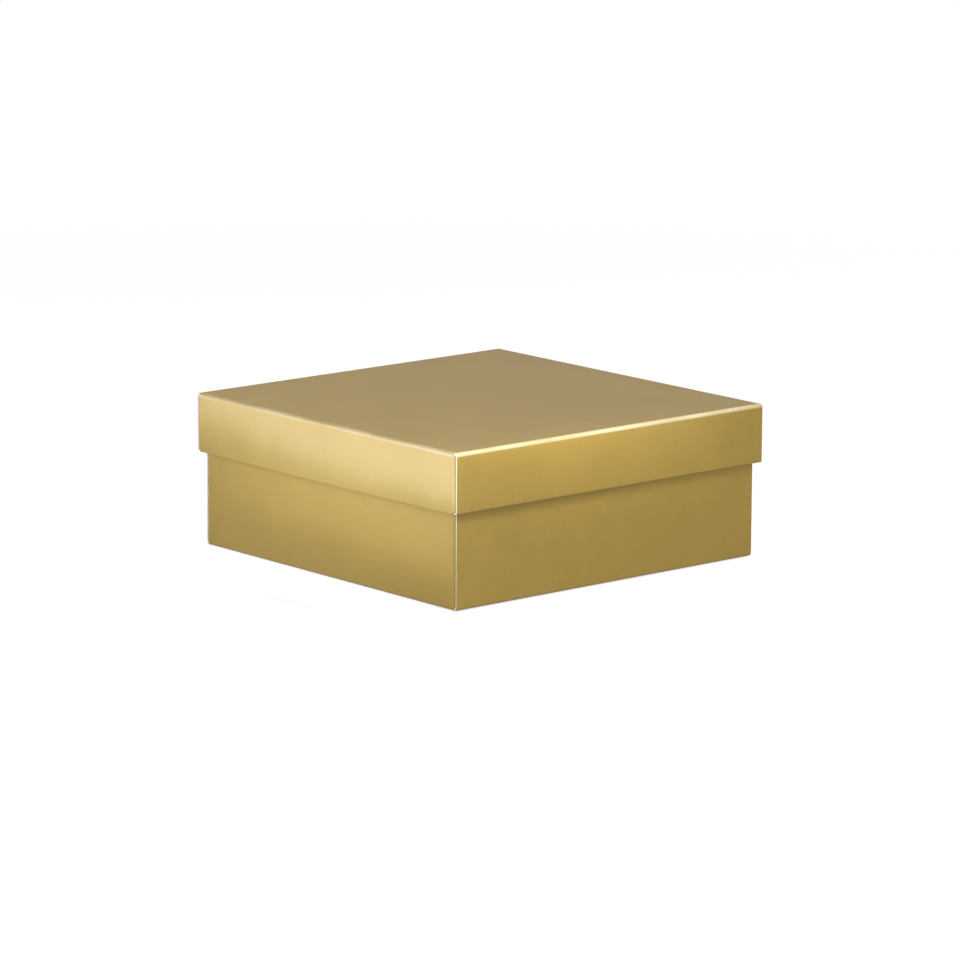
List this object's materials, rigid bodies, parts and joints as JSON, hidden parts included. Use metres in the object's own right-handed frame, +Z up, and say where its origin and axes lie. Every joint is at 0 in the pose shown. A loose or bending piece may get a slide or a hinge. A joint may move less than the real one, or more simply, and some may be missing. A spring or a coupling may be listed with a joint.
{
  "type": "square gift box",
  "caption": "Low square two-piece gift box folded from gold metallic board, with rolled walls and a lift-off lid that rests on the base.",
  "frame": {"origin": "on the surface the box stands on, under the middle of the box", "axes": "+Z up, out of the box's mouth; +Y from the front rolled wall to the back one; +X from the left single wall to the right one"},
  "size_m": [0.1546, 0.1554, 0.06],
  "materials": {
    "base_board": "metallic gold foil print on coated folding boxboard, satin",
    "lid_board": "metallic gold foil print on coated folding boxboard, satin"
  },
  "bodies": {
    "base": {"base_floor": "base_board", "base_left_wall": "base_board", "base_right_wall": "base_board", "base_front_wall": "base_board", "base_back_wall": "base_board", "base_corner_flap_front_left": "base_board", "base_corner_flap_front_right": "base_board", "base_corner_flap_back_left": "base_board", "base_corner_flap_back_right": "base_board"},
    "base_front_inner": {"base_front_inner_panel": "base_board"},
    "base_back_inner": {"base_back_inner_panel": "base_board"},
    "lid": {"lid_top": "lid_board", "lid_left_wall": "lid_board", "lid_right_wall": "lid_board", "lid_front_wall": "lid_board", "lid_back_wall": "lid_board", "lid_corner_flap_front_left": "lid_board", "lid_corner_flap_front_right": "lid_board", "lid_corner_flap_back_left": "lid_board", "lid_corner_flap_back_right": "lid_board", "lid_front_inner_panel": "lid_board", "lid_back_inner_panel": "lid_board"}
  },
  "joints": [
    {"name": "lid_lift", "type": "slide", "parent": "base", "child": "lid", "axis": [0, 0, 1], "range_m": [0, 0.1]},
    {"name": "front_inner_fold", "type": "hinge", "parent": "base", "child": "base_front_inner", "pos_m": [0, -0.07323, 0.05887], "axis": [-1, 0, 0], "range_deg": [-90, 0]},
    {"name": "back_inner_fold", "type": "hinge", "parent": "base", "child": "base_back_inner", "pos_m": [0, 0.07323, 0.05887], "axis": [1, 0, 0], "range_deg": [-90, 0]}
  ]
}
